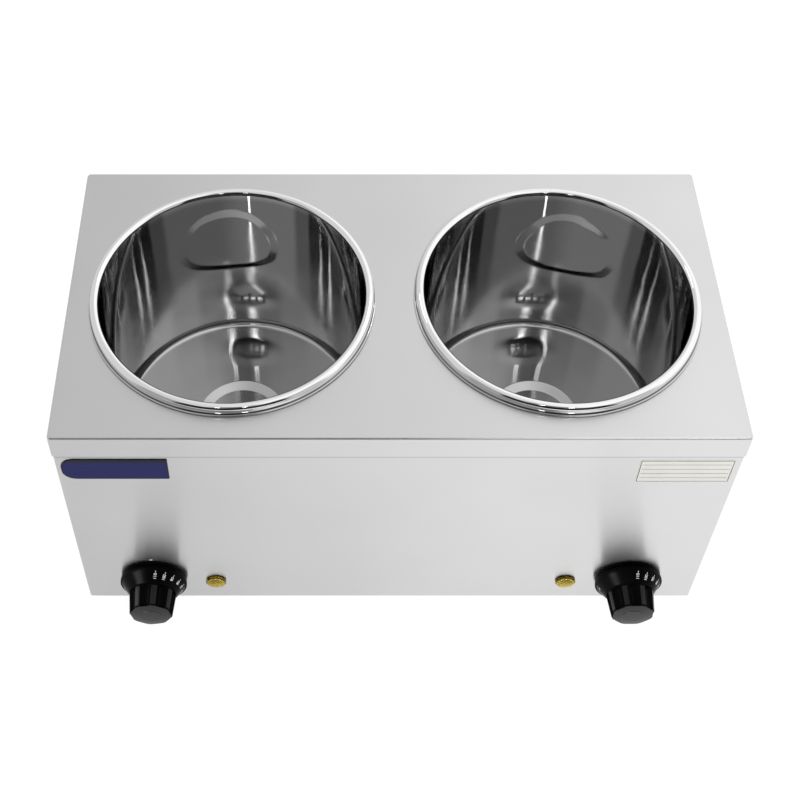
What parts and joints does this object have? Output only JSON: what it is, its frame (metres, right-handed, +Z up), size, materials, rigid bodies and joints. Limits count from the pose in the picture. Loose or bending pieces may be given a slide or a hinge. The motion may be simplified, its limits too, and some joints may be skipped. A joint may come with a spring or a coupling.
{
  "type": "soup warmer",
  "caption": "Rectangular stainless counter-top warmer with round polished wells, rolled rims, turning temperature knobs and amber pilot lamps on the front panel.",
  "frame": {"origin": "centre of the overall box at the surface that the feet stand on", "axes": "+X to the right and +Z up as seen from the control side, which faces -Y"},
  "size_m": [0.54, 0.335, 0.282],
  "materials": {
    "stainless_satin": "fine satin stainless sheet",
    "stainless_polished": "mirror-polished stainless",
    "zinc_steel": "bright zinc-plated steel",
    "shield_steel": "plain aluminised steel sheet",
    "element_sheath": "heat-tinted sheath",
    "copper": "drawn copper",
    "black_phenolic": "semi-gloss moulded black",
    "black_nylon": "moulded black nylon",
    "amber_lens": "clear amber, faceted inside",
    "rubber_black": "matt moulded rubber",
    "silicone_grey": "matt silicone",
    "control_body": "moulded thermoset",
    "block_white": "moulded polyamide",
    "wire_sleeve": "silicone-sleeved wire",
    "badge_blue": "blue enamel, blank",
    "label_cream": "printed border, blank field"
  },
  "bodies": {
    "case": {"top_deck": "stainless_satin", "deck_nuts": "zinc_steel", "body_wrapper": "stainless_satin", "rear_panel": "stainless_satin", "rear_panel_screws": "zinc_steel", "base_plate": "stainless_satin", "base_screws": "zinc_steel", "rubber_feet": "rubber_black", "foot_screws": "zinc_steel", "foot_nuts": "zinc_steel", "heater_nuts": "zinc_steel", "thermostat_screws": "zinc_steel", "pilot_retaining_rings": "zinc_steel", "terminal_block": "block_white", "block_screws": "zinc_steel", "earth_stud": "zinc_steel", "earth_nuts": "zinc_steel", "cable_gland": "black_nylon", "gland_locknut": "black_nylon", "badge_plate": "badge_blue", "label_plate": "label_cream", "well_left": "stainless_polished", "well_right": "stainless_polished", "rim_seal_left": "silicone_grey", "rim_seal_right": "silicone_grey", "well_clips_left": "stainless_satin", "well_clips_right": "stainless_satin", "heater_left": "element_sheath", "heater_right": "element_sheath", "heater_clamp_left": "zinc_steel", "heater_clamp_right": "zinc_steel", "heat_shield_left": "shield_steel", "heat_shield_right": "shield_steel", "sensor_bulb_left": "copper", "sensor_bulb_right": "copper", "bulb_straps_left": "zinc_steel", "bulb_straps_right": "zinc_steel", "cutout_left": "control_body", "cutout_right": "control_body", "thermostat_left": "control_body", "thermostat_right": "control_body", "knob_bezel_left": "black_phenolic", "knob_bezel_right": "black_phenolic", "pilot_holder_left": "black_nylon", "pilot_holder_right": "black_nylon", "pilot_lens_left": "amber_lens", "pilot_lens_right": "amber_lens", "wiring_left": "wire_sleeve", "wiring_right": "wire_sleeve"},
    "dial_left": {"knob_left": "black_phenolic", "spindle_left": "zinc_steel"},
    "dial_right": {"knob_right": "black_phenolic", "spindle_right": "zinc_steel"}
  },
  "joints": [
    {"name": "dial_left_turn", "type": "hinge", "parent": "case", "child": "dial_left", "pos_m": [-0.208, -0.13005, 0.051], "axis": [0, -1, 0], "range_deg": [-12, 260]},
    {"name": "dial_right_turn", "type": "hinge", "parent": "case", "child": "dial_right", "pos_m": [0.208, -0.13005, 0.051], "axis": [0, -1, 0], "range_deg": [0, 272]}
  ]
}
